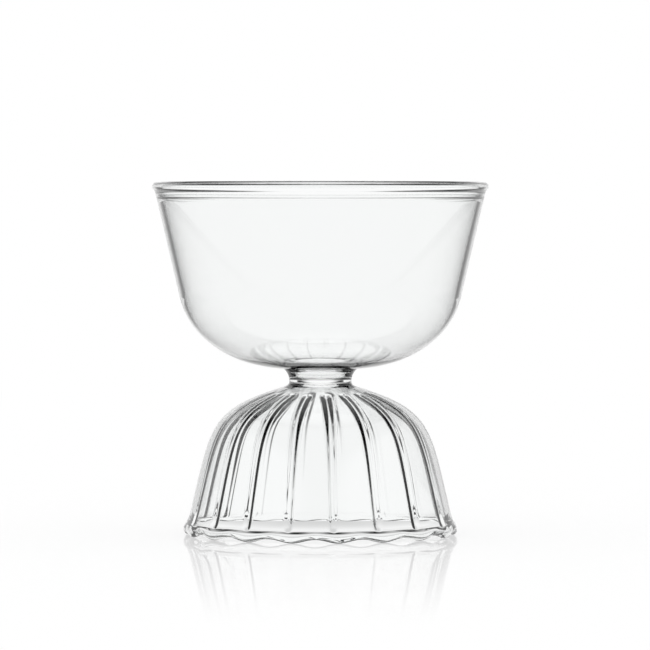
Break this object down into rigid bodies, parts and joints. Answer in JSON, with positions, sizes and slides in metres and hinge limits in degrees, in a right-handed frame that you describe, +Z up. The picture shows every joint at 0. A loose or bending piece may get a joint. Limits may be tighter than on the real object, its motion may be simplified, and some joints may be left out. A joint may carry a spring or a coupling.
{
  "type": "water glass",
  "caption": "Clear hand-blown water glass with a plain tapered bowl, a beaded rim, a short waisted neck and a hollow ribbed bell foot with a scalloped base edge.",
  "frame": {"origin": "on the glass's axis, in the plane that the foot stands on", "axes": "+Z up along the axis, from the foot to the mouth; -Y is the side facing the picture"},
  "size_m": [0.095, 0.095, 0.0996],
  "materials": {
    "clear_glass": "fire-polished clear"
  },
  "bodies": {
    "root": {"bowl": "clear_glass", "neck_collar": "clear_glass", "fluted_foot": "clear_glass"}
  },
  "joints": []
}
